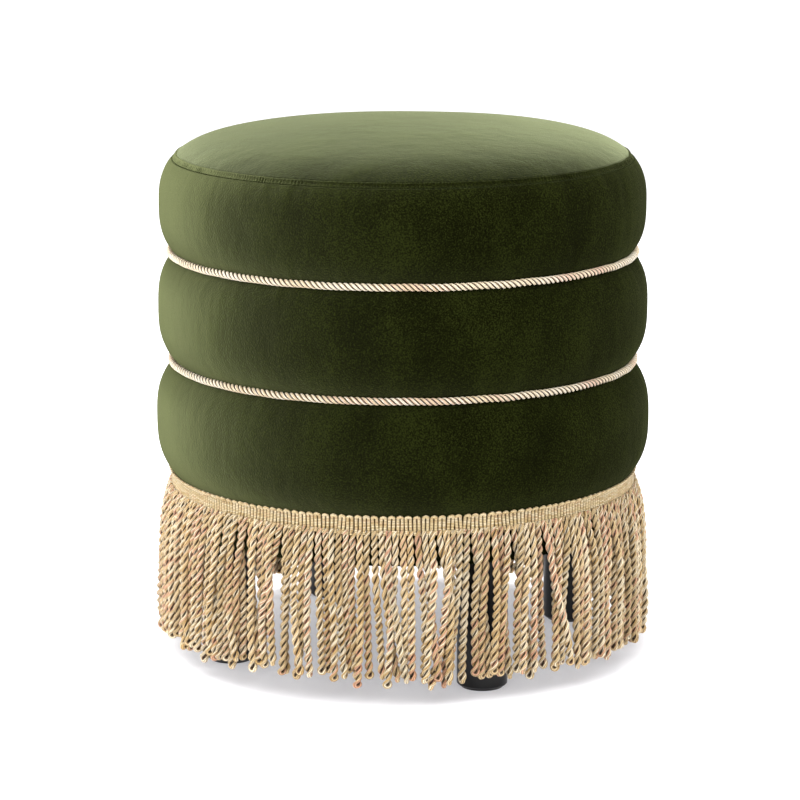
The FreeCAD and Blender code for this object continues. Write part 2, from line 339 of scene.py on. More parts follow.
@dataclass(frozen=True)
class SpeckledSolid(Finish):
    """A plain moulded, pressed or foamed material: two close shades in grains, a little uneven."""

    dark: str = "#101010"
    light: str = "#1c1c1c"
    grain_mm: float = 2.0
    relief_mm: float = 0.1
    roughness: float = 0.6
    metallic: float = 0.0

    def draw(self, pattern: Pattern) -> dict:
        """Draws the grains and the unevenness.

        Args:
            pattern: the material's node tree.

        Returns:
            What fills the shader's sockets.
        """
        add = pattern.add
        place = add("TexCoord", out="Object")
        scale = 1 / (self.grain_mm * MM)
        grains = add("TexNoise", {"Vector": place, "Scale": scale, "Detail": 4.0, "Roughness": 0.6})
        span = {"Value": grains, "To Min": self.roughness - 0.08, "To Max": self.roughness + 0.08}
        return {
            "Base Color": add("ValToRGB", {"Fac": grains}, stops=((0.35, self.dark), (0.65, self.light))),
            "Roughness": add("MapRange", span),
            "Normal": add("Bump", {"Height": grains, "Strength": 0.5, "Distance": self.relief_mm * MM}),
            "Metallic": self.metallic,
        }


@dataclass(frozen=True)
class GrainedWood(Finish):
    """Sawn or peeled wood, unfinished: long pores along the grain, and the plies as stripes on an edge."""

    early: str = "#d3b183"
    late: str = "#b48a58"
    grain_mm: float = 2.2
    stretch: tuple[float, float, float] = (1.0, 0.08, 1.0)
    ply_mm: float = 0.0

    def draw(self, pattern: Pattern) -> dict:
        """Draws the grain, and stripes for the plies where there are any.

        Args:
            pattern: the material's node tree.

        Returns:
            What fills the shader's sockets.
        """
        add = pattern.add
        place = add("TexCoord", out="Object")
        along = add("Mapping", {"Vector": place, "Scale": self.stretch})
        scale = 1 / (self.grain_mm * MM)
        tone = add("TexNoise", {"Vector": along, "Scale": scale, "Detail": 5.0, "Distortion": 0.6})
        if self.ply_mm:
            height = add("SeparateXYZ", {"Vector": place}, "Z")
            plies = add("Math", {0: height, 1: math.pi / (self.ply_mm * MM)}, operation="MULTIPLY")
            plies = add("Math", {0: plies}, operation="SINE")
            tone = add("Math", {0: plies, 1: 0.16, 2: tone}, operation="MULTIPLY_ADD")
        return {
            "Base Color": add("ValToRGB", {"Fac": tone}, stops=((0.3, self.late), (0.62, self.early))),
            "Normal": add("Bump", {"Height": tone, "Strength": 0.4, "Distance": 0.15 * MM}),
            "Roughness": 0.7,
        }


@dataclass(frozen=True)
class LitSheet(Finish):
    """A milky sheet with lamps under it, as on a light table, so that shadows on it stay pale."""

    glow: float = 0.4

    def draw(self, pattern: Pattern) -> dict:
        """Draws nothing: the sheet is plain.

        Args:
            pattern: the material's node tree.

        Returns:
            What fills the shader's sockets.
        """
        return {
            "Base Color": linear("#d2d2d4"),
            "Roughness": 0.9,
            "Specular IOR Level": 0.1,
            "Emission Color": linear("#fbfaff"),
            "Emission Strength": self.glow,
        }


VELVET = CottonVelvet("cotton_velvet_moss")
SEAT_VELVET = CottonVelvet(
    "cotton_velvet_moss_seat",
    sheen_colour="#f4ffc6",
    sheen_weight=0.41,
    tuft_mm=0.5,
    lean=0.32,
    brushed_out=0.33,
    lean_way=(-1.0, 0.02, 0.0),
)
EDGE_VELVET = CottonVelvet("cotton_velvet_moss_edge", sheen_weight=0.3, lean=0.36, tuft_mm=0.6)
VELVET_THREAD = CottonVelvet(
    "spun_polyester_thread_moss", deep="#14180a", mid="#1c210e", pale="#262c14", sheen_weight=0.1, lean=0.0
)
CORD = RayonYarn(
    "rayon_cord_gold",
    gold="#f4e5c6",
    cream="#fbf2de",
    rose="#eecdb6",
    ochre="#e6cfa8",
    groove_shade="#a08058",
    valley_shade="#3a2410",
    valley_shade_from=0.16,
    valley_shade_to=0.29,
    lay_per_metre=90.0,
)
BULLION = RayonYarn("rayon_bullion_gold")
GIMP = RayonYarn(
    "woven_rayon_gimp_gold",
    gold="#dec898",
    cream="#ead8b0",
    rose="#dabc90",
    ochre="#ccb07c",
    groove_shade="#6f4f26",
    valley_shade_from=0.9,
    valley_shade_to=1.0,
    yarns_round=0.0,
    lay_per_metre=690.0,
    yarn_height_mm=0.4,
)
# The backing tape is a real band, drawn dark brown as painted shade in the slots between the heading's ribs
GIMP_SHADE_GROUND = replace(
    GIMP,
    name="woven_rayon_gimp_ground_painted_shade",
    gold="#6e5128",
    cream="#84643a",
    rose="#6b4a26",
    ochre="#5a401e",
    groove_shade="#3a2812",
    yarn_height_mm=0.42,
)
LACQUER = SatinLacquer("black_lacquered_hardwood")
NYLON = SpeckledSolid("moulded_nylon_black", roughness=0.5)
ZINC = SpeckledSolid(
    "zinc_plated_steel", "#9a9a9e", "#c2c2c6", grain_mm=3.0, relief_mm=0.02, roughness=0.34, metallic=1.0
)
NON_WOVEN = SpeckledSolid("spun_non_woven_black", "#0a0a0a", "#202020", grain_mm=1.2, roughness=0.9)
PLYWOOD = GrainedWood("birch_plywood", ply_mm=1.5)
SOFTWOOD = GrainedWood("planed_softwood", early="#d8b684", late="#b98d58", stretch=(1.0, 1.0, 0.06))
BOARD = SpeckledSolid("grey_upholstery_board", "#6c6150", "#8b7d66", grain_mm=4.0, roughness=0.85)
FOAM = SpeckledSolid("cut_polyurethane_foam", "#cfc8ac", "#e9e3cb", 1.6, relief_mm=0.6, roughness=0.95)
FLOOR = LitSheet("matt_white_floor")


# Points and meshes


def above(level: float, *pairs: tuple[float, float]) -> Profile:
    """Returns profile points, from radii and from heights above a level, both in millimetres."""
    return [(radius * MM, level + rise * MM) for radius, rise in pairs]


def polar(places: np.ndarray) -> tuple[np.ndarray, np.ndarray, np.ndarray]:
    """Returns the distances from the axis, the angles and the heights of rows of x, y and z."""
    return np.hypot(places[:, 0], places[:, 1]), np.arctan2(places[:, 1], places[:, 0]), places[:, 2]


def round_axis(radius: np.ndarray, turn: np.ndarray, height: np.ndarray) -> np.ndarray:
    """Returns rows of x, y and z, from distances from the axis, angles and heights."""
    return np.stack([radius * np.cos(turn), radius * np.sin(turn), height], axis=1)


def turned(x: np.ndarray, y: np.ndarray, angle: np.ndarray) -> tuple[np.ndarray, np.ndarray]:
    """Returns x and y after a turn by an angle."""
    return x * np.cos(angle) - y * np.sin(angle), x * np.sin(angle) + y * np.cos(angle)


def unit(rows: np.ndarray) -> np.ndarray:
    """Returns rows of x, y and z, each with a length of one."""
    return rows / np.linalg.norm(rows, axis=1, keepdims=True)


def points_of(mesh: bpy.types.Mesh) -> np.ndarray:
    """Returns a mesh's points as rows of x, y and z."""
    flat = np.empty(len(mesh.vertices) * 3, np.float32)
    mesh.vertices.foreach_get("co", flat)
    return flat.reshape(-1, 3).astype(float)


def corners_of(mesh: bpy.types.Mesh) -> np.ndarray:
    """Returns the number of the point at each corner of a mesh's faces."""
    corners = np.empty(len(mesh.loops), np.int32)
    mesh.loops.foreach_get("vertex_index", corners)
    return corners


def move_points(mesh: bpy.types.Mesh, places: np.ndarray) -> None:
    """Puts a mesh's points at new places, rows of x, y and z."""
    mesh.vertices.foreach_set("co", places.astype(np.float32).ravel())
    mesh.update()


def set_tone(mesh: bpy.types.Mesh, value: float) -> None:
    """Writes one shade number, from 0 to 1, on all of a mesh's points."""
    tone = mesh.attributes.get("tone") or mesh.attributes.new("tone", "FLOAT", "POINT")
    tone.data.foreach_set("value", np.full(len(mesh.vertices), value, np.float32))


def set_map(mesh: bpy.types.Mesh, across: np.ndarray, along: np.ndarray) -> None:
    """Writes the map that yarns follow, as turns round the strand and metres along it at each corner."""
    flat = np.stack([across, along], axis=1).astype(np.float32).ravel()
    mesh.uv_layers.new(name="strand").data.foreach_set("uv", flat)


def mesh_of(bm: bmesh.types.BMesh, name: str) -> bpy.types.Mesh:
    """Returns a new mesh of a bmesh, which is used up."""
    mesh = bpy.data.meshes.new(name)
    bm.to_mesh(mesh)
    bm.free()
    return mesh


def close_up(mesh: bpy.types.Mesh, merge: float = 0.0) -> None:
    """Closes a mesh and turns its faces outwards.

    Args:
        mesh: a tube.
        merge: how close the points of its two ends are, or nothing where the ends are filled instead.
    """
    bm = bmesh.new()
    bm.from_mesh(mesh)
    if merge:
        bmesh.ops.remove_doubles(bm, verts=bm.verts, dist=merge)
    else:
        bmesh.ops.holes_fill(bm, edges=[line for line in bm.edges if line.is_boundary], sides=0)
    bmesh.ops.recalc_face_normals(bm, faces=bm.faces)
    bm.to_mesh(mesh)
    bm.free()


def turned_copies(part: bpy.types.Mesh, steps: list[Matrix], merge: float = 0.0) -> bmesh.types.BMesh:
    """Puts copies of a mesh together, each one moved.

    Args:
        part: the mesh, which is used up.
        steps: where each copy goes.
        merge: how close points must be to become one, in metres, or nothing for no merging.

    Returns:
        All the copies in one.
    """
    together = bmesh.new()
    base = points_of(part)
    for step in steps:
        move_points(part, base @ np.array(step.to_3x3()).T + np.array(step.translation))
        together.from_mesh(part)
    bpy.data.meshes.remove(part)
    if merge:
        bmesh.ops.remove_doubles(together, verts=together.verts, dist=merge)
    return together


def spun(profile: Profile, segments: int, closed: bool = True) -> bmesh.types.BMesh:
    """Turns a profile once round the upright axis into a closed shell, a twentieth at a time.

    Args:
        profile: radii and heights in metres, starting and ending on the axis unless closed.
        segments: how many steps the turn has, a multiple of twenty.
        closed: whether the profile's ends are joined, as for a ring.

    Returns:
        The shell, with its doubles merged and its faces outwards.
    """
    parts = 20
    bm = bmesh.new()
    points = [bm.verts.new((radius, 0.0, height)) for radius, height in profile]
    lines = [bm.edges.new(pair) for pair in zip(points, points[1:] + points[: int(closed)])]
    geometry, turn = points + lines, math.tau / parts
    bmesh.ops.spin(bm, geom=geometry, cent=(0, 0, 0), axis=(0, 0, 1), angle=turn, steps=segments // parts)
    bmesh.ops.remove_doubles(bm, verts=bm.verts, dist=0.002 * MM)
    turns = [Matrix.Rotation(math.tau * part / parts, 4, "Z") for part in range(parts)]
    shell = turned_copies(mesh_of(bm, "sector"), turns, merge=0.004 * MM)
    bmesh.ops.recalc_face_normals(shell, faces=shell.faces)
    return shell


def add_ring(bm: bmesh.types.BMesh, sides: int, shape: Matrix) -> list:
    """Adds a unit circle in a given shape, and returns its points and lines."""
    points = bmesh.ops.create_circle(bm, cap_ends=False, segments=sides, radius=1.0, matrix=shape)["verts"]
    return points + list(dict.fromkeys(line for point in points for line in point.link_edges))


def bevelled_block(name: str, sides_mm: tuple[float, float, float], bevel_mm: float) -> bpy.types.Mesh:
    """Makes a small block with its edges taken off.

    Args:
        name: its name.
        sides_mm: its three sides.
        bevel_mm: how much comes off.

    Returns:
        Its mesh.
    """
    bm = bmesh.new()
    bmesh.ops.create_cube(bm, size=1.0)
    bmesh.ops.scale(bm, verts=bm.verts, vec=[side * MM for side in sides_mm])
    edges, off = list(bm.edges), bevel_mm * MM
    bmesh.ops.bevel(
        bm, geom=edges, offset=off, offset_type="OFFSET", segments=1, profile=0.5, affect="EDGES", material=-1
    )
    return mesh_of(bm, name)


def put_in_scene(name: str, data: bpy.types.ID) -> bpy.types.Object:
    """Returns a new object, put in the scene."""
    made = bpy.data.objects.new(name, data)
    bpy.context.scene.collection.objects.link(made)
    return made


def finish_piece(
    name: str,
    mesh: bpy.types.Mesh | bmesh.types.BMesh,
    finish: Finish,
    slot: str,
    *nodes: str,
    smooth: bool = True,
) -> bpy.types.Object:
    """Makes an object of a mesh, dresses it and ties it to the frame.

    Args:
        name: the piece's name.
        mesh: its mesh, or a bmesh that is used up.
        finish: what it is made of.
        slot: the record's material slot, which is not used.
        nodes: the CAD nodes that it stands for.
        smooth: whether its faces shade as one surface.

    Returns:
        The object.
    """
    data = mesh_of(mesh, name) if isinstance(mesh, bmesh.types.BMesh) else mesh
    data.materials.clear()
    data.materials.append(finish.material())
    data.polygons.foreach_set("use_smooth", [smooth] * len(data.polygons))
    data.update()
    piece = put_in_scene(name, data)
    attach(piece, BODY)
    if nodes:
        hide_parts(*nodes)
    LOG.info("%s: %d faces in %s", name, len(data.polygons), finish.name)
    return piece


@dataclass(frozen=True)
class Ripples:
    """Seeded waves round the stool that close on themselves and are the same in every run."""

    seed: int
    fewest: int
    most: int
    count: int = 14
    drift: float = 18.0

    def at(self, turn: np.ndarray, height: np.ndarray) -> np.ndarray:
        """Adds the waves up.

        Args:
            turn: angles round the stool, in radians.
            height: heights in metres.

        Returns:
            The waves' sum at each point, mostly between -1 and 1.
        """
        draw = np.random.default_rng(self.seed)
        waves = draw.integers(self.fewest, self.most + 1, self.count)
        starts = draw.uniform(0, math.tau, self.count)
        slopes = draw.uniform(-self.drift, self.drift, self.count)
        total = np.zeros_like(turn)
        for wave, start, slope in zip(waves, starts, slopes):
            total += np.cos(wave * turn + start + slope * height)
        return total / math.sqrt(self.count)


# The velvet drum


@dataclass(frozen=True)
class Tier:
    """One padded tier between two lines where the velvet is held, with heights and radii in metres."""

    bottom: float
    top: float
    held_radius: float
    swell: float
    fullness: float = 3.0

    def radius(self, height: float) -> float:
        """Returns the tier's radius at a height."""
        share = (2 * height - self.bottom - self.top) / (self.top - self.bottom)
        return self.held_radius + self.swell * (1 - abs(share) ** self.fullness)

    def outline(self, rows: int) -> Profile:
        """Returns the tier's profile from bottom to top, closer together near its ends."""
        shares = [-math.cos(math.pi * row / rows) for row in range(rows + 1)]
        heights = [(self.bottom + self.top) / 2 + share * (self.top - self.bottom) / 2 for share in shares]
        return [(self.radius(height), height) for height in heights]


@dataclass
class VelvetDrum:
    """The velvet and wadding: three tiers drawn in by the ropes, and the domed seat with its strip."""

    segments: int = 540
    panel_segments: int = 360
    strip_segments: int = 1500
    rows: int = 30
    hem_inner_mm: float = 200.0
    skin_inner_mm: float = 212.3
    waist_mm: float = 213.5
    crease_mm: float = 214.4
    belly_mm: float = 0.9
    rope_reach_mm: float = 2.7
    crown_mm: tuple[float, float, float] = (12.5, 17.0, 2.5)
    seam_rise_mm: float = 4.3
    tuck_mm: float = 9.0
    pucker_mm: float = 0.32
    swell_mm: float = 0.55
    stitch_mm: float = 3.4
    stitch_gap_mm: float = 0.7
    thread_mm: float = 0.55

    def __post_init__(self) -> None:
        """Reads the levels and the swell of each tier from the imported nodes."""
        boxes = {name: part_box(f"{name}_tier_cover") for name in ("low", "middle", "top")}
        ropes = (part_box(name) for name in ("lower_rope", "upper_rope"))
        self.low_rope, self.high_rope = ((low.z + high.z) / 2 for low, high in ropes)
        reach = self.rope_reach_mm * MM
        crease = self.crease_mm * MM
        swells = [high.x + (self.belly_mm * MM - crease) for _, high in boxes.values()]
        self.low = Tier(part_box("fringe_header")[1].z, self.low_rope - reach, crease, swells[0])
        self.middle = Tier(self.low_rope + reach, self.high_rope - reach, crease, swells[1])
        self.upper = Tier(self.high_rope + reach, boxes["top"][1].z, crease, swells[2])
        self.hem_bottom = boxes["low"][0].z
        self.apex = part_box("top_panel")[1].z
        self.seam = self.upper.top + self.seam_rise_mm * MM

    def cover(self, name: str, profile: Profile, tier: Tier, seed: int) -> None:
        """Builds one tier's cover with the small unevenness of hand upholstery.

        Args:
            name: the node and piece name.
            profile: the closed profile of velvet and wadding.
            tier: the swelling part of it.
            seed: the start of its random waves.
        """
        piece = finish_piece(name, spun(profile, self.segments), VELVET, "velvet", name)
        places = points_of(piece.data)
        radius, turn, height = polar(places)
        inside_tier = (radius > (self.skin_inner_mm + 0.5) * MM) & (height > tier.bottom - 1 * MM)
        share = np.clip((height - tier.bottom) / (tier.top - tier.bottom), 0, 1)
        edge = np.minimum(height - tier.bottom, tier.top - height).clip(0)
        pull = np.exp(-edge / (self.tuck_mm * MM)) * np.clip(edge / (1.5 * MM), 0, 1)
        slow = Ripples(seed, 2, 9).at(turn, height) * np.sin(math.pi * share) * self.swell_mm * MM
        gathers = Ripples(seed + 1, 46, 118, count=22).at(turn, height)
        uneven = np.clip(0.55 + 0.45 * Ripples(seed + 2, 3, 11).at(turn, height), 0, 2)
        push = np.where(inside_tier, slow + gathers * uneven * pull * self.pucker_mm * MM, 0.0)
        places[:, :2] *= ((radius + push) / radius)[:, None]
        move_points(piece.data, places)

    def lip(self, level: float, side: int) -> Profile:
        """Returns a cover's edge, tucked in beside a rope at a level: above it, side 1, or below it, side -1."""
        waist, inner = self.waist_mm + 0.3, self.skin_inner_mm
        return above(level, (inner, 0.1 * side), (inner + 0.3, 0.1 * side), (waist, 1.2 * side))[::side]

    def build_tiers(self) -> None:
        """Builds the three tiers, the lowest one with its plinth and the hem that is turned under."""
        hem, waist, inner, bottom = self.hem_inner_mm, self.waist_mm, self.skin_inner_mm, self.hem_bottom
        profile = above(bottom, (hem, 1.4), (hem, 0.3), (hem + 0.5, 0))
        profile += above(bottom, (203, 0), (206, 0), (209, 0), (211.5, 0), (waist - 0.5, 0.3), (waist, 1.2))
        steps = 10
        foot = bottom + 1.2 * MM
        profile += [(waist * MM, foot + (self.low.bottom - foot) * step / steps) for step in range(1, steps)]
        profile += self.low.outline(self.rows) + self.lip(self.low_rope, -1) + above(bottom, (inner, 1.6))
        self.cover("low_tier_cover", profile, self.low, seed=11)
        profile = self.lip(self.low_rope, 1) + self.middle.outline(self.rows) + self.lip(self.high_rope, -1)
        self.cover("middle_tier_cover", profile, self.middle, seed=23)
        profile = self.lip(self.high_rope, 1) + self.upper.outline(self.rows) + [(inner * MM, self.upper.top)]
        self.cover("top_tier_cover", profile, self.upper, seed=37)

    def crown_height(self, radius: float) -> float:
        """Returns the seat's height at a distance from the middle."""
        share = min(1.0, radius / (SEAT_MM * MM))
        edge, dome, middle = self.crown_mm
        rise = edge * (1 - share**12) + dome * (1 - share**2) + middle * (1 - share**2) ** 3
        return self.seam + (self.apex - self.seam) * rise / (edge + dome + middle)

    def build_panel(self) -> None:
        """Builds the domed seat panel as one closed pad."""
        edge = (SEAT_MM - 1.6) * MM
        rows = 40
        reaches = [edge * math.sin(math.pi / 2 * row / rows) for row in range(1, rows + 1)]
        under = self.upper.top + 0.2 * MM
        profile = [(0.0, self.apex)] + [(reach, self.crown_height(reach)) for reach in reaches]
        profile += [(edge + 0.4 * MM, self.seam - 0.6 * MM), (edge + 0.2 * MM, under), (0.0, under)]
        shell = spun(profile, self.panel_segments, closed=False)
        piece = finish_piece("top_panel", shell, SEAT_VELVET, "velvet", "top_panel")
        places = points_of(piece.data)
        radius, turn, height = polar(places)
        fade = np.clip(1 - (radius / edge) ** 6, 0, 1)
        slow = Ripples(51, 1, 4, drift=0.0).at(turn, radius) * np.sin(math.pi * radius / edge) * 0.9 * MM
        puckers = Ripples(52, 60, 150, count=24).at(turn, radius) * 0.22 * MM
        puckers *= np.exp(-(edge - radius).clip(0) / (6 * MM)) * np.clip((edge - radius) / (1 * MM), 0, 1)
        places[:, 2] += np.where(height > self.seam - 0.3 * MM, slow * fade + puckers, 0.0)
        move_points(piece.data, places)

    def build_strip(self) -> None:
        """Builds the strip below the seat's edge: a standing ridge, then puckers down to the stitching."""
        bottom, seam = self.upper.top, self.seam
        ridge = ((207.6, -0.9), (208.6, -0.5), (209, 0.3), (209.4, 0.75), (209.9, 0.85), (210.4, 0.6))
        fall = ((210.8, -0.1), (211, -0.9), (211.5, -1.9), (212.3, -2.9))
        foot = ((213, 0.75), (213.2, 0.2), (212.6, 0.1), (207.4, 0.5))
        shell = spun(above(seam, *ridge, *fall) + above(bottom, *foot), self.strip_segments)
        piece = finish_piece("seat_seam_strip", shell, EDGE_VELVET, "velvet", "top_panel")
        places = points_of(piece.data)
        radius, turn, height = polar(places)
        low_part = np.clip((height - bottom - 0.2 * MM) / (0.8 * MM), 0, 1)
        face = np.clip((radius - 210.6 * MM) / (0.6 * MM), 0, 1) * low_part
        ticks = Ripples(61, 330, 470, count=16, drift=0.0).at(turn, height)
        uneven = np.clip(0.75 + 0.5 * Ripples(62, 2, 13, drift=0.0).at(turn, height), 0.25, 1.8)
        push = ticks * uneven * face * 0.5 * MM
        on_ridge = np.clip((height - seam + 0.2 * MM) / (1 * MM), 0, 1)
        lift = on_ridge * (0.1 + 0.16 * Ripples(63, 3, 60, drift=0.0).at(turn, height)) * MM
        places[:, :2] *= ((radius + push) / radius)[:, None]
        places[:, 2] += lift
        move_points(piece.data, places)

    def build_stitches(self) -> None:
        """Builds the topstitching along the lower edge of the strip."""
        radius = (self.waist_mm - 0.15) * MM
        count = round(math.tau * radius / ((self.stitch_mm + self.stitch_gap_mm) * MM))
        thread = self.thread_mm
        stitch = bevelled_block("stitch", (thread, self.stitch_mm, thread), thread * 0.28)
        first = Matrix.Translation((radius, 0, self.upper.top + 0.5 * MM))
        spots = [Matrix.Rotation(math.tau * step / count, 4, "Z") @ first for step in range(count)]
        finish_piece("seat_topstitching", turned_copies(stitch, spots), VELVET_THREAD, "velvet")

    def build(self) -> None:
        """Builds all the velvet, from the hem up to the seat."""
        self.build_tiers()
        self.build_panel()
        self.build_strip()
        self.build_stitches()


# Twisted cords


@dataclass(frozen=True)
class Lay:
    """How strands are twisted together, with sizes in millimetres."""

    strands: int
    half_depth: float
    half_width: float
    offset: float
    pitch: float
    sides: int
    rings_per_turn: int

    def section(self, bm: bmesh.types.BMesh, turn: float) -> list:
        """Adds one strand's cross section at the foot of the cord.

        Args:
            bm: where it goes.
            turn: the strand's angle round the cord, in radians.

        Returns:
            Its points and lines.
        """
        spot = Matrix.Rotation(turn, 4, "Z") @ Matrix.Translation((self.offset * MM, 0, 0))
        size = Matrix.Diagonal((self.half_depth * MM, self.half_width * MM, 1, 1))
        return add_ring(bm, self.sides, spot @ size)

    def screw(self, bm: bmesh.types.BMesh, geometry: list, turns: float) -> None:
        """Twists cross sections upwards along the cord.

        Args:
            bm: what they are in.
            geometry: their points and lines.
            turns: how many turns they make.
        """
        steps = round(turns * self.rings_per_turn)
        rise = (0, 0, turns * self.pitch * MM / steps)
        whole = math.tau * turns
        bmesh.ops.spin(bm, geom=geometry, cent=(0, 0, 0), axis=(0, 0, 1), dvec=rise, angle=whole, steps=steps)

    def map_strands(self, mesh: bpy.types.Mesh) -> None:
        """Writes the map that the yarns follow: turns round the strand, and metres along it.

        Args:
            mesh: the straight cord.
        """
        x, y, z = points_of(mesh).T
        across, depth = turned(x, y, -math.tau * np.maximum(z, 0) / (self.pitch * MM))
        if self.strands == 2:
            reach = np.where(z < 0, np.hypot(x, z), np.abs(across))
            round_it = np.arctan2(np.where(z < 0, y, depth), reach - self.offset * MM)
        else:
            apart = math.tau / self.strands
            own = np.round(np.arctan2(depth, across) / apart) * apart
            out, side = turned(across, depth, -own)
            round_it = np.arctan2(side, out - self.offset * MM)
        # A face that crosses the end of a turn counts on from its first corner
        corners = corners_of(mesh)
        starts = np.empty(len(mesh.polygons), np.int32)
        mesh.polygons.foreach_get("loop_start", starts)
        face = np.zeros(len(corners), np.int32)
        face[starts[1:]] = 1
        share = round_it[corners] / math.tau
        share -= np.round(share - share[starts][np.cumsum(face)])
        set_map(mesh, share, z[corners])


@dataclass
class WaistRopes:
    """Three-strand ropes that draw the velvet in, each held all the way round."""

    radius_mm: float = 216.2
    turns: int = 88

    def build_rope(self, name: str, tone: float) -> None:
        """Twists one rope straight, and bends it into a ring where its node is.

        Args:
            name: the node and piece name.
            tone: its shade.
        """
        low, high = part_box(name)
        radius = self.radius_mm * MM
        lay = Lay(3, 1.6, 1.72, 1.8, math.tau * radius / self.turns / MM, sides=10, rings_per_turn=16)
        bm = bmesh.new()
        sections = [lay.section(bm, math.tau * strand / lay.strands) for strand in range(lay.strands)]
        lay.screw(bm, sum(sections, []), 1)
        stack = [Matrix.Translation((0, 0, lay.pitch * MM * turn)) for turn in range(self.turns)]
        mesh = mesh_of(turned_copies(mesh_of(bm, "one_turn"), stack, merge=0.01 * MM), name)
        lay.map_strands(mesh)
        x, y, z = points_of(mesh).T
        turn = z / radius + math.pi / 2
        waver = Ripples(71, 5, 40, drift=0.0).at(turn, turn) * 0.25 * MM
        move_points(mesh, round_axis(radius - y, turn, (low.z + high.z) / 2 + waver - x))
        set_tone(mesh, tone)
        close_up(mesh, merge=0.01 * MM)
        finish_piece(name, mesh, CORD, "gold_cord", name)

    def build(self) -> None:
        """Builds both ropes."""
        self.build_rope("lower_rope", tone=0.55)
        self.build_rope("upper_rope", tone=0.8)


class Quarter(Enum):
    """The four quarters of the fringe, with the angle of each one's middle in degrees."""

    RIGHT = ("fringe_right", 0)
    BACK = ("fringe_back", 90)
    LEFT = ("fringe_left", 180)
    FRONT = ("fringe_front", 270)


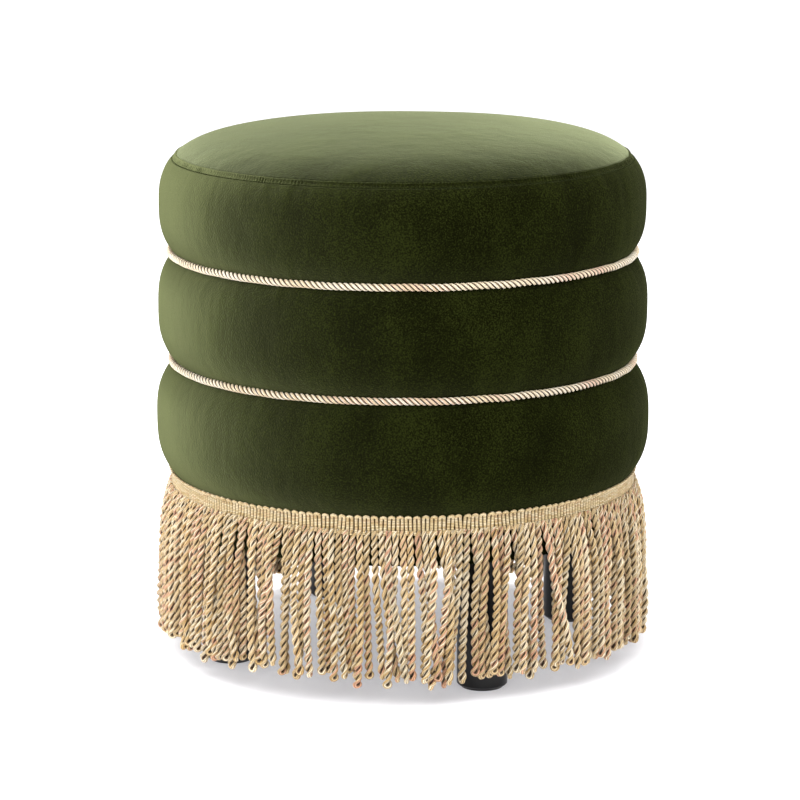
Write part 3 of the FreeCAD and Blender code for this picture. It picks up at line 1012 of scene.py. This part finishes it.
@dataclass
class BullionFringe:
    """A fringe of two-ply bullion cords, each one a yarn twisted back on itself, under the heading."""

    cords: int = 216
    stations: int = 22
    seed: int = 9
    lay: Lay = Lay(2, 1.84, 2.05, 1.84, 17.6, sides=8, rings_per_turn=13)
    loop_mm: float = 2.5
    loop_rise_mm: float = 6.0
    top_mm: float = 158.0
    end_mm: float = 22.5
    front_lift_mm: float = 4.0
    uneven_mm: float = 3.6
    clump_mm: float = 3.6
    lean_mm: float = 8.0
    sway_mm: float = 2.6
    kink_mm: float = 0.9
    behind: float = 0.36
    layers_mm: tuple[float, float] = (-5.2, 1.6)
    close_mm: float = 6.5
    rounds: int = 90
    plump: tuple[float, float, float] = (0.84, 1.08, 45.0)
    circle_mm: float = 225.0
    outermost_mm: float = 230.5
    levels_mm: tuple[float, ...] = (15.0, 50.0, 100.0, 125.0, 138.0, 145.0, 150.0, 154.0, 158.0)
    centres_mm: tuple[float, ...] = (226.4, 225.4, 225.6, 225.0, 224.3, 223.2, 221.4, 219.0, 216.9)

    def master(self) -> bpy.types.Mesh:
        """Makes one straight cord: a loop at its foot, two plies twisted upwards, and closed tops.

        Returns:
            Its mesh.
        """
        bm = bmesh.new()
        foot = self.lay.section(bm, 0.0)
        bmesh.ops.spin(bm, geom=foot, cent=(0, 0, 0), axis=(0, 1, 0), angle=math.pi, steps=6)
        lines = [line for line in bm.edges if line.is_boundary]
        points = list(dict.fromkeys(point for line in lines for point in line.verts))
        self.lay.screw(bm, points + lines, (self.top_mm - self.end_mm) / self.lay.pitch)
        bmesh.ops.remove_doubles(bm, verts=bm.verts, dist=0.005 * MM)
        mesh = mesh_of(bm, "cord")
        self.lay.map_strands(mesh)
        close_up(mesh)
        self.open_loop(mesh)
        return mesh

    def open_loop(self, mesh: bpy.types.Mesh) -> None:
        """Widens the foot of the cord to the small open loop where the yarn turns back.

        Args:
            mesh: the straight cord.
        """
        places = points_of(mesh)
        height = places[:, 2]
        twist = math.tau * np.maximum(height, 0) / (self.lay.pitch * MM)
        ahead = round_axis(np.ones_like(twist), twist, np.zeros_like(twist))
        ahead *= np.sign((places * ahead).sum(axis=1))[:, None]
        below = height < 0
        down = places * [1.0, 0.0, 1.0] / np.hypot(places[:, 0], height)[:, None]
        ahead = np.where(below[:, None], down, ahead)
        fade = np.clip(1 - height / (self.loop_rise_mm * MM), 0, 1)
        fade = np.where(below, 1.0, fade * fade * (3 - 2 * fade))
        places += ahead * (fade * (self.loop_mm - self.lay.offset) * MM)[:, None]
        move_points(mesh, places)

    def centre_radius(self, height_mm: np.ndarray) -> np.ndarray:
        """Returns how far from the axis a cord hangs at each height, in millimetres."""
        return np.interp(height_mm, self.levels_mm, self.centres_mm)

    def settle(self) -> tuple[np.ndarray, np.ndarray, np.ndarray]:
        """Lets the cords lean and clump, and pushes them apart until none lies in another.

        Returns:
            Angles, radii and heights in millimetres, each a row of stations per cord from the top down.
        """
        draw = np.random.default_rng(self.seed)
        count, circle = self.cords, self.circle_mm
        share = np.linspace(0, 1, self.stations)[None, :]
        starts = math.tau * (np.arange(count) + 0.5) / count
        ends = self.end_mm + np.clip(draw.normal(0, self.uneven_mm, count), -7, 8)
        ends -= self.front_lift_mm * np.sin(starts)
        heights = self.top_mm + (ends[:, None] - self.top_mm) * share
        clumps = Ripples(self.seed, 16, 42, count=18, drift=0.0).at(starts, starts) * self.clump_mm
        lean = clumps + draw.normal(0, self.lean_mm, count)
        sway = draw.normal(0, self.sway_mm, count)
        kink = draw.normal(0, self.kink_mm, count)
        phase = draw.uniform(0, math.tau, count)
        shift = lean[:, None] * share**1.15 + sway[:, None] * np.sin(math.pi * share)
        shift += kink[:, None] * np.sin(math.tau * 1.4 * share + phase[:, None]) * np.clip(share * 4, 0, 1)
        angles = starts[:, None] + shift / circle
        layer = np.where(draw.random(count) < self.behind, *self.layers_mm) + draw.normal(0, 0.6, count)
        radii = self.centre_radius(heights) + layer[:, None] * np.clip(share * 3, 0, 1)
        rest_angles = angles.copy()
        rest_radii = radii.copy()
        # Cords lie against the heading above, and against the plinth below it
        least = np.where(heights > 124, 217.2, 214.0)
        for _ in range(self.rounds):
            angles += 0.05 * (rest_angles - angles)
            radii += 0.05 * (rest_radii - radii)
            for step in (1, 2, 3, 4):
                gap = np.roll(angles, -step, axis=0) - angles
                gap = (gap + math.pi) % math.tau - math.pi
                along = gap * circle
                out = np.roll(radii, -step, axis=0) - radii
                apart = np.hypot(along, out) + 1e-6
                push = np.clip(self.close_mm - apart, 0, None) * 0.25
                move_along = push * along / apart / circle
                move_out = push * out / apart
                angles += np.roll(move_along, step, axis=0) - move_along
                radii += np.roll(move_out, step, axis=0) - move_out
            for rows in (angles, radii):
                rows[:, 1:-1] += 0.3 * (rows[:, :-2] + rows[:, 2:] - 2 * rows[:, 1:-1])
            angles[:, 0] = starts
            radii[:, 0] = self.centre_radius(heights[:, 0])
            radii = np.clip(radii, least, self.outermost_mm)
        return angles, radii, heights

    def hang(self, mesh: bpy.types.Mesh, straight: np.ndarray, path: np.ndarray, spin: np.ndarray) -> None:
        """Bends the straight cord along its settled path.

        Args:
            mesh: the cord to move.
            straight: the straight cord's points.
            path: places from the top down, in metres.
            spin: the cord's own turn at its foot, more over its length, and an uneven part, in radians.
        """
        upward = path[::-1]
        length = (self.top_mm - self.end_mm) * MM
        levels = np.linspace(0, length, len(upward))
        height = straight[:, 2]
        inside = np.clip(height, 0, length)
        centre, up = (
            np.stack([np.interp(inside, levels, rows[:, axis]) for axis in range(3)], axis=1)
            for rows in (upward, np.gradient(upward, levels, axis=0))
        )
        up = unit(up)
        along = unit(np.cross(up, unit(centre * [1.0, 1.0, 0.0])))
        outward = np.cross(along, up)
        least, most, growth = self.plump
        swell = most - (most - least) * np.exp(-(length - inside) / (growth * MM))
        share = inside / length
        angle = spin[0] + spin[1] * share + spin[2] * np.sin(math.tau * 1.7 * share + spin[0])
        across, depth = (side * swell for side in turned(straight[:, 0], straight[:, 1], angle))
        beyond = (height - inside)[:, None]
        move_points(mesh, centre + outward * across[:, None] + along * depth[:, None] + up * beyond)

    def build(self) -> None:
        """Builds the fringe in four quarters, where its nodes are."""
        cord = self.master()
        straight = points_of(cord)
        angles, radii, heights = self.settle()
        draw = np.random.default_rng(self.seed + 1)
        spins = draw.uniform(0, math.tau, self.cords)
        tones = draw.uniform(0, 1, self.cords)
        slack = draw.normal(0, 2.2, self.cords)
        uneven = draw.normal(0, 0.55, self.cords)
        quarters = {quarter: bmesh.new() for quarter in Quarter}
        for number in range(self.cords):
            path = round_axis(radii[number], angles[number], heights[number]) * MM
            self.hang(cord, straight, path, np.array([spins[number], slack[number], uneven[number]]))
            set_tone(cord, tones[number])
            middle = math.degrees(angles[number, 0])
            nearest = min(Quarter, key=lambda one: abs((middle - one.value[1] + 180) % 360 - 180))
            quarters[nearest].from_mesh(cord)
        bpy.data.meshes.remove(cord)
        for quarter, bm in quarters.items():
            name = quarter.value[0]
            finish_piece(name, bm, BULLION, "gold_bullion", name)


@dataclass
class WovenHeading:
    """The gimp heading of the fringe: yarns laid in upright loops over a backing, crossed by fine wefts."""

    loops: int = 183
    rib_mm: float = 1.62
    arc_mm: float = 1.86
    centre_mm: float = 216.0
    bottom_mm: float = 154.6
    top_mm: float = 172.2
    flare_mm: float = 2.0
    weft_mm: float = 1.45
    pinch: float = 0.72
    sides: int = 7

    def master(self) -> bpy.types.Mesh:
        """Makes one straight loop standing on the ground: two ribs and an arch, pinched by each weft.

        Returns:
            Its mesh.
        """
        bm = bmesh.new()
        arc, size = self.arc_mm * MM, self.rib_mm * MM
        shape = Matrix.Translation((arc, 0, 0)) @ Matrix.Diagonal((size * 1.08, size, 1, 1))
        rib = add_ring(bm, self.sides, shape)
        bmesh.ops.spin(bm, geom=rib, cent=(0, 0, 0), axis=(0, -1, 0), angle=math.pi, steps=7)
        fall = self.top_mm - self.bottom_mm - self.arc_mm - self.rib_mm
        rings = round(fall / self.weft_mm) * 2
        ends = [line for line in bm.edges if line.is_boundary]
        for _ in range(rings):
            grown = bmesh.ops.extrude_edge_only(bm, edges=ends)["geom"]
            points = [item for item in grown if isinstance(item, bmesh.types.BMVert)]
            ends = [item for item in grown if isinstance(item, bmesh.types.BMEdge)]
            ends = [line for line in ends if all(point in points for point in line.verts)]
            bmesh.ops.translate(bm, verts=points, vec=(0, 0, -fall / rings * MM))
        mesh = mesh_of(bm, "loop")
        close_up(mesh)
        places = points_of(mesh)
        x, y, z = places.T
        corners = corners_of(mesh)
        set_map(mesh, (np.arctan2(y, np.abs(x) - arc) / math.tau)[corners], z[corners])
        row = np.round(-z / (fall / rings * MM)).astype(int)
        shrink = np.where((z < -0.2 * MM) & (row % 2 == 1), self.pinch, 1.0)
        middle = np.sign(x) * arc
        places[:, 0] = middle + (x - middle) * shrink
        places[:, 1] *= shrink
        move_points(mesh, places)
        return mesh

    def build(self, drum: VelvetDrum) -> None:
        """Builds the loops round the stool, and the band that backs them.

        Args:
            drum: the velvet that the loops lie on.
        """
        loop = self.master()
        straight = points_of(loop)
        draw = np.random.default_rng(5)
        heading = bmesh.new()
        base = self.top_mm - self.arc_mm - self.rib_mm
        for number in range(self.loops):
            middle = math.tau * (number + 0.5 + draw.normal(0, 0.02)) / self.loops
            tilt = draw.normal(0, 0.035)
            height = (base + draw.normal(0, 0.18)) * MM + straight[:, 2]
            across = straight[:, 0] + (straight[:, 2] + 6 * MM) * tilt
            velvet = np.array([drum.low.radius(max(level, drum.low.bottom)) for level in height])
            centre = np.maximum(self.centre_mm * MM, velvet + (self.rib_mm + 0.1) * MM)
            low = np.clip((self.bottom_mm + 6 - height / MM) / 6, 0, 1)
            centre += self.flare_mm * MM * low**2
            turn = middle - across / centre
            move_points(loop, round_axis(centre + straight[:, 1], turn, height))
            set_tone(loop, draw.uniform(0.45, 0.8))
            heading.from_mesh(loop)
        bpy.data.meshes.remove(loop)
        bmesh.ops.recalc_face_normals(heading, faces=heading.faces)
        finish_piece("fringe_header", heading, GIMP, "gold_gimp", "fringe_header")
        # The tape shows only between the ribs; its dark colour is painted shade there
        inner, outer = 213.7 * MM, 214.6 * MM
        low, high = (self.bottom_mm + 0.4) * MM, (self.top_mm - 5.0) * MM
        tape = mesh_of(spun([(inner, low), (outer, low), (outer, high), (inner, high)], 360), "fringe_tape")
        tape.uv_layers.new(name="strand")
        set_tone(tape, 0.5)
        finish_piece("fringe_tape", tape, GIMP_SHADE_GROUND, "gold_gimp", "fringe_header")


# Frame, legs and underside


@dataclass
class InnerFrame:
    """The boards, posts, foam and fastenings inside, and the cloth and staples under the stool."""

    foam_gap_mm: float = 0.3
    staples: int = 44
    staple_mm: tuple[float, float, float] = (0.7, 10.0, 0.6)
    staple_circle_mm: float = 195.5
    cloth_sag_mm: float = 0.7

    def dress_nodes(self) -> None:
        """Gives the CAD nodes that stay their finishes."""
        wanted = {
            LACQUER: ("leg_front_left", "leg_front_right", "leg_back_left", "leg_back_right"),
            NYLON: ("leg_glides",),
            ZINC: ("hanger_bolts", "tee_nuts"),
            PLYWOOD: ("base_board", "top_board"),
            SOFTWOOD: ("post_front", "post_right", "post_back", "post_left"),
            BOARD: ("drum_wall",),
        }
        for finish, names in wanted.items():
            for name in names:
                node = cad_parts[name]
                for place in node.material_slots:
                    place.material = finish.material()
                LOG.info("%s: kept from the frame, in %s", name, finish.name)

    def build_foam(self) -> None:
        """Builds the seat's foam pad with softened edges."""
        low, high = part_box("seat_foam")
        soft = 5 * MM
        core = high.x - self.foam_gap_mm * MM - soft
        arc = [math.pi / 2 * step / 6 for step in range(7)]
        profile = [(0.0, high.z)]
        profile += [(core + soft * math.sin(turn), high.z - soft + soft * math.cos(turn)) for turn in arc]
        profile += [(core + soft * math.cos(turn), low.z + soft - soft * math.sin(turn)) for turn in arc]
        profile += [(0.0, low.z)]
        piece = finish_piece("seat_foam", spun(profile, 180, closed=False), FOAM, "seat_foam", "seat_foam")

    def build_cloth(self) -> None:
        """Builds the dust cloth: thin, stapled round its edge and slack between the legs."""
        low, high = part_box("dust_cover")
        radius = high.x
        rings = 30
        top = [(radius * ring / rings, high.z - 0.1 * MM) for ring in range(rings + 1)]
        under = [(radius * ring / rings, low.z + 0.5 * MM) for ring in range(rings, -1, -1)]
        cloth = spun(top + under, 220, closed=False)
        piece = finish_piece("dust_cover", cloth, NON_WOVEN, "dust_cloth", "dust_cover")
        places = points_of(piece.data)
        reach, turn, _ = polar(places)
        share = reach / radius
        pulled = Ripples(81, 20, 60, count=16).at(turn, reach) * np.clip(share * 1.6 - 0.6, 0, 1) * 0.18
        slack = np.cos(math.pi / 2 * np.clip(share, 0, 1)) * self.cloth_sag_mm
        places[:, 2] -= (slack + pulled * (1 - share) * 2 + 0.1) * MM
        move_points(piece.data, places)

    def build_staples(self) -> None:
        """Builds the wire staples that hold the dust cloth."""
        low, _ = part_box("dust_cover")
        draw = np.random.default_rng(9)
        spots = []
        for step in range(self.staples):
            around = math.tau * (step + draw.uniform(-0.2, 0.2)) / self.staples
            out = (self.staple_circle_mm + draw.uniform(-1.2, 1.2)) * MM
            spot = Matrix.Rotation(around, 4, "Z") @ Matrix.Translation((out, 0, low.z + 0.15 * MM))
            spots.append(spot @ Matrix.Rotation(draw.uniform(-0.35, 0.35), 4, "Z"))
        staples = turned_copies(bevelled_block("staple", self.staple_mm, 0.2), spots)
        finish_piece("dust_cover_staples", staples, ZINC, "zinc_steel", smooth=False)

    def build(self) -> None:
        """Builds and dresses everything inside and underneath."""
        self.dress_nodes()
        self.build_foam()
        self.build_cloth()
        self.build_staples()


# Studio


@dataclass(frozen=True)
class Softbox:
    """A square soft light, placed round the stool as the camera sees it."""

    name: str
    side: float
    distance: float
    turn: float
    rise: float
    watts: float
    colour: str = "#ffffff"


@dataclass
class Studio:
    """A plain white floor, soft lights and the camera at the picture's angle."""

    camera_turn: float = 20.8
    camera_distance: float = 3.065
    camera_height: float = 0.868
    camera_pitch: float = 11.745
    camera_yaw: float = 0.05
    lens: float = 149.95
    floor_side: float = 60.0
    world_strength: float = 0.83
    sky_strength: float = 1.4
    sky_spread: float = 100.0
    lights: tuple[Softbox, ...] = (
        Softbox("front_left", 1.6, 2.6, -35.0, 40.0, 24.0),
        Softbox("front_top", 1.8, 2.6, 0.0, 52.0, 22.0),
        Softbox("left_back", 1.3, 2.2, -122.0, 30.0, 32.0),
        Softbox("left_back_high", 1.6, 2.4, -140.0, 55.0, 30.0),
        Softbox("back", 1.2, 2.8, 180.0, 35.0, 22.0),
        Softbox("top", 1.6, 2.4, 0.0, 90.0, 20.0),
        Softbox("right", 1.3, 2.4, 85.0, 25.0, 7.0),
    )

    def build_floor(self) -> None:
        """Lays the floor."""
        bm = bmesh.new()
        bmesh.ops.create_grid(bm, x_segments=1, y_segments=1, size=self.floor_side / 2)
        floor = put_in_scene("studio_floor", mesh_of(bm, "studio_floor"))
        floor.data.materials.append(FLOOR.material())

    def build_light(self, box: Softbox) -> None:
        """Hangs one soft light and turns it to the stool.

        Args:
            box: where it hangs and how strong it is.
        """
        data = bpy.data.lights.new(box.name, "AREA")
        data.shape = "SQUARE"
        data.size = box.side
        data.energy = box.watts
        data.color = linear(box.colour)[:3]
        lamp = put_in_scene(box.name, data)
        turn = math.radians(self.camera_turn + box.turn)
        rise = math.radians(box.rise)
        aim = Vector((0, 0, 0.25))
        back = Vector((math.sin(turn) * math.cos(rise), -math.cos(turn) * math.cos(rise), math.sin(rise)))
        lamp.location = aim + back * box.distance
        lamp.rotation_euler = (-back).to_track_quat("-Z", "Y").to_euler()

    def build_sky(self) -> None:
        """Lights the whole floor evenly from above."""
        data = bpy.data.lights.new("sky", "SUN")
        data.energy = self.sky_strength
        data.angle = math.radians(self.sky_spread)
        put_in_scene("sky", data)

    def build_camera(self) -> None:
        """Sets the camera up at the picture's viewing angle."""
        data = bpy.data.cameras.new("camera")
        data.lens = self.lens
        data.sensor_width = 36.0
        data.clip_end = 100.0
        camera = put_in_scene("camera", data)
        turn = math.radians(self.camera_turn)
        reach = self.camera_distance
        camera.location = (reach * math.sin(turn), -reach * math.cos(turn), self.camera_height)
        tilt = math.radians(90 - self.camera_pitch)
        camera.rotation_euler = (tilt, 0.0, turn + math.radians(self.camera_yaw))
        bpy.context.scene.camera = camera

    def build(self) -> None:
        """Builds the floor, the lights, the air round them and the camera."""
        self.build_floor()
        for box in self.lights:
            self.build_light(box)
        self.build_sky()
        world = bpy.data.worlds.new("studio_air")
        world.use_nodes = True
        air = world.node_tree.nodes["Background"]
        air.inputs["Color"].default_value = linear("#ffffff")
        air.inputs["Strength"].default_value = self.world_strength
        scene = bpy.context.scene
        scene.world = world
        scene.view_settings.view_transform = "Standard"
        self.build_camera()


def main() -> None:
    """Builds the stool's sub-assemblies in order, and the studio round them."""
    logging.basicConfig(level=logging.INFO, format="%(name)s %(message)s")
    Studio().build()
    drum = VelvetDrum()
    drum.build()
    WaistRopes().build()
    WovenHeading().build(drum)
    BullionFringe().build()
    InnerFrame().build()


if __name__ == "__main__":
    main()
